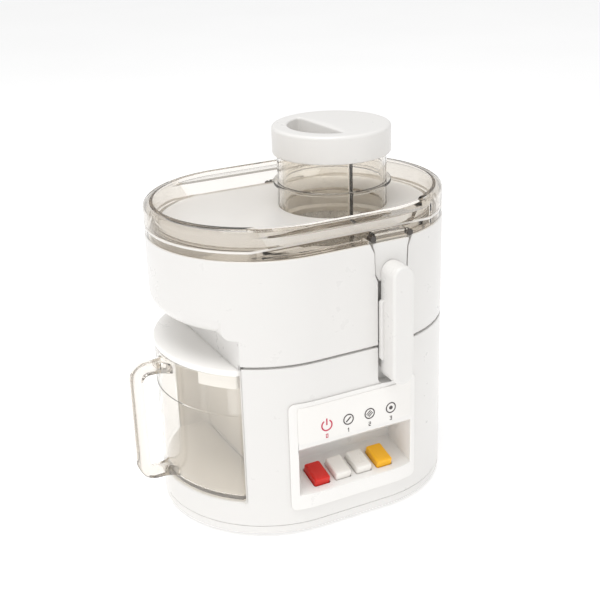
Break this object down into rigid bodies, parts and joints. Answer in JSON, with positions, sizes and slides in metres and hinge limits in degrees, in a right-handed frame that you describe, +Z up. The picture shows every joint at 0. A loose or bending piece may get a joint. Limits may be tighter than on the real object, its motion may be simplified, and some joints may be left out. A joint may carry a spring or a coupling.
{
  "type": "centrifugal juicer",
  "caption": "Oval white centrifugal juicer with a smoked lid, feed tube and pusher, swing clamps, a jug in a bay at one end and a sloped row of push keys.",
  "frame": {"origin": "under the middle of the whole object's box, on the table it stands on", "axes": "+Z up, +X to the right seen from the control panel (the jug's handle points along -X), +Y to the back"},
  "size_m": [0.279, 0.222, 0.3105],
  "materials": {
    "white": "satin gloss",
    "label": "satin",
    "red": "satin gloss",
    "yellow": "satin gloss",
    "ivory": "satin gloss",
    "black_plastic": "matt",
    "rubber": "matt",
    "seal": "matt",
    "smoked": "clear smoked gloss",
    "steel": "brushed",
    "lamination": "dull",
    "copper": "varnished wire",
    "brass": "machined"
  },
  "bodies": {
    "appliance": {"base_plate": "white", "base_screw_1": "steel", "base_screw_2": "steel", "base_screw_3": "steel", "base_screw_4": "steel", "foot_front_left": "rubber", "foot_back_left": "rubber", "foot_front_right": "rubber", "foot_back_right": "rubber", "motor_housing": "white", "cord_inlet_grommet": "rubber", "control_panel": "white", "label_plate": "label", "switch_block": "black_plastic", "stator_core": "lamination", "field_winding_upper": "copper", "field_winding_lower": "copper", "brush_holder_left": "brass", "brush_holder_right": "brass", "carbon_brush_left": "black_plastic", "carbon_brush_right": "black_plastic", "motor_bolt_left": "steel", "motor_bolt_right": "steel", "upper_bracket": "lamination", "lower_bracket": "lamination", "upper_bearing": "steel", "lower_bearing": "brass", "deck_seal": "rubber", "clamp_pin_front": "steel", "clamp_pin_back": "steel", "juice_bowl": "white", "lid_gasket": "seal", "feed_lid": "smoked"},
    "spinner": {"motor_shaft": "steel", "armature_core": "lamination", "armature_winding_upper": "copper", "armature_winding_lower": "copper", "commutator": "brass", "cooling_fan": "black_plastic", "drive_coupling": "black_plastic", "basket_hub": "white", "grater_disc": "steel", "filter_mesh": "steel", "basket_rim": "white"},
    "pusher": {"pusher_cap": "white", "pusher_body": "smoked"},
    "jug": {"juice_jug": "smoked", "jug_lid": "white"},
    "front_clamp": {"clamp_front": "white"},
    "back_clamp": {"clamp_back": "white"},
    "off_key": {"key_off": "red"},
    "low_speed_key": {"key_low_speed": "ivory"},
    "high_speed_key": {"key_high_speed": "ivory"},
    "pulse_key": {"key_pulse": "yellow"}
  },
  "joints": [
    {"name": "basket_spin", "type": "hinge", "parent": "appliance", "child": "spinner", "pos_m": [0.0495, 0, 0.1], "axis": [0, 0, 1], "continuous": true},
    {"name": "pusher_lift", "type": "slide", "parent": "appliance", "child": "pusher", "axis": [0, 0, 1], "range_m": [0, 0.08]},
    {"name": "jug_slide", "type": "slide", "parent": "appliance", "child": "jug", "axis": [-1, 0, 0], "range_m": [0, 0.12]},
    {"name": "front_clamp_swing", "type": "hinge", "parent": "appliance", "child": "front_clamp", "pos_m": [0.05, -0.097, 0.1315], "axis": [1, 0, 0], "range_deg": [0, 45]},
    {"name": "back_clamp_swing", "type": "hinge", "parent": "appliance", "child": "back_clamp", "pos_m": [0.05, 0.097, 0.1315], "axis": [-1, 0, 0], "range_deg": [0, 45]},
    {"name": "off_key_press", "type": "slide", "parent": "appliance", "child": "off_key", "axis": [0, 0.2622, -0.965], "range_m": [0, 0.0035], "stiffness_N_per_m": 500, "springref_m": -0.002},
    {"name": "low_speed_key_press", "type": "slide", "parent": "appliance", "child": "low_speed_key", "axis": [0, 0.2622, -0.965], "range_m": [0, 0.0035], "stiffness_N_per_m": 500, "springref_m": -0.002},
    {"name": "high_speed_key_press", "type": "slide", "parent": "appliance", "child": "high_speed_key", "axis": [0, 0.2622, -0.965], "range_m": [0, 0.0035], "stiffness_N_per_m": 500, "springref_m": -0.002},
    {"name": "pulse_key_press", "type": "slide", "parent": "appliance", "child": "pulse_key", "axis": [0, 0.2622, -0.965], "range_m": [0, 0.0035], "stiffness_N_per_m": 500, "springref_m": -0.002}
  ]
}
